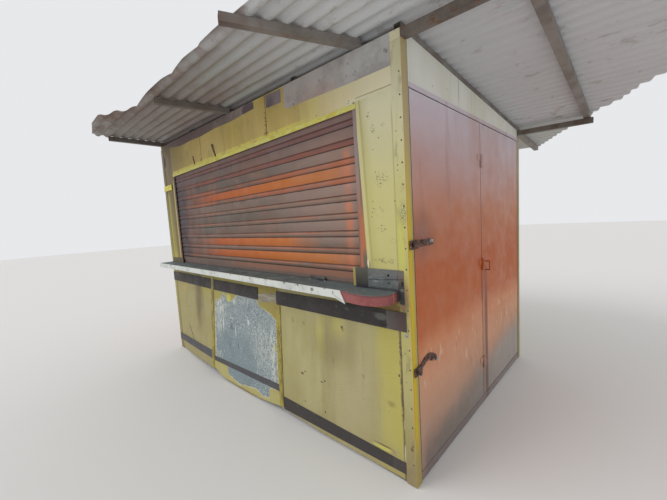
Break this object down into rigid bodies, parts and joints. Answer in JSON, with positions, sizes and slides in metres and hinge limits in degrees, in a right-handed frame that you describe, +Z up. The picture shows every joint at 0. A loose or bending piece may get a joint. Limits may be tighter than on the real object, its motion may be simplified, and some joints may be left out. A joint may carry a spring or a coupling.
{
  "type": "street kiosk",
  "caption": "Sheet-steel street kiosk with a roller shutter over a counter, a hinged side leaf with hasps and a corrugated roof that reaches out over the front.",
  "frame": {"origin": "underside of the middle floor joist, on the ground under the centre of the body's plan", "axes": "+Z up, the front with the counter faces -Y, the side with the hinged leaf faces +X"},
  "size_m": [4.15, 3.5767, 2.4504],
  "materials": {
    "yellow_paint": "faded yellow paint, rust specks, scratches",
    "yellow_bright": "brighter yellow paint on trim",
    "orange_paint": "faded orange-red paint, grimy at the foot",
    "shutter_orange": "orange paint under grey-brown grime",
    "dark_band": "dark grey-brown paint",
    "counter_steel": "worn dark steel",
    "white_trim": "chipped white paint",
    "red_trim": "faded red paint",
    "frame_steel": "primer and light rust",
    "rusty_steel": "brown rust",
    "floor_steel": "worn and rusty plate",
    "roof_metal": "weathered galvanised sheet with rust",
    "valance": "dark weathered sheet"
  },
  "bodies": {
    "body": {"base_rails": "frame_steel", "floor_joists": "frame_steel", "floor_plate": "floor_steel", "corner_posts": "yellow_paint", "top_rails": "frame_steel", "wall_posts": "frame_steel", "door_mullion": "frame_steel", "wall_rails": "frame_steel", "front_sheet_left": "yellow_paint", "front_sheet_centre": "yellow_paint", "front_sheet_right": "yellow_paint", "front_cover_strips": "yellow_bright", "counter_apron": "dark_band", "kick_bands": "dark_band", "jamb_sheets": "yellow_paint", "header_sheet_left": "yellow_paint", "header_sheet_centre": "yellow_paint", "header_sheet_right": "yellow_paint", "header_lip": "yellow_bright", "jamb_bar": "yellow_bright", "header_valances": "valance", "left_wall_sheets": "orange_paint", "rear_wall_sheets": "yellow_paint", "side_header_sheet": "yellow_paint", "side_fixed_panel": "orange_paint", "side_trim": "orange_paint", "panel_pull": "rusty_steel", "hinge_pins": "rusty_steel", "staples": "rusty_steel", "counter_plate": "counter_steel", "counter_edge": "white_trim", "counter_end": "red_trim", "counter_upstands": "counter_steel", "counter_brackets": "frame_steel", "shutter_guides": "rusty_steel", "shutter_slats": "shutter_orange", "shutter_bottom_bar": "shutter_orange", "roof_rafters": "frame_steel", "roof_arms": "frame_steel", "roof_sheet_front": "roof_metal", "roof_sheet_1": "roof_metal", "roof_sheet_2": "roof_metal", "roof_sheet_3": "roof_metal", "roof_sheet_4": "roof_metal"},
    "door": {"door_sheet": "orange_paint", "door_frame": "frame_steel", "door_hinges": "rusty_steel", "hasp_upper": "rusty_steel", "hasp_lower": "rusty_steel"}
  },
  "joints": [
    {"name": "door_hinge", "type": "hinge", "parent": "body", "child": "door", "pos_m": [1.607, 0.006, 1], "axis": [0, 0, 1], "range_deg": [0, 100]}
  ]
}
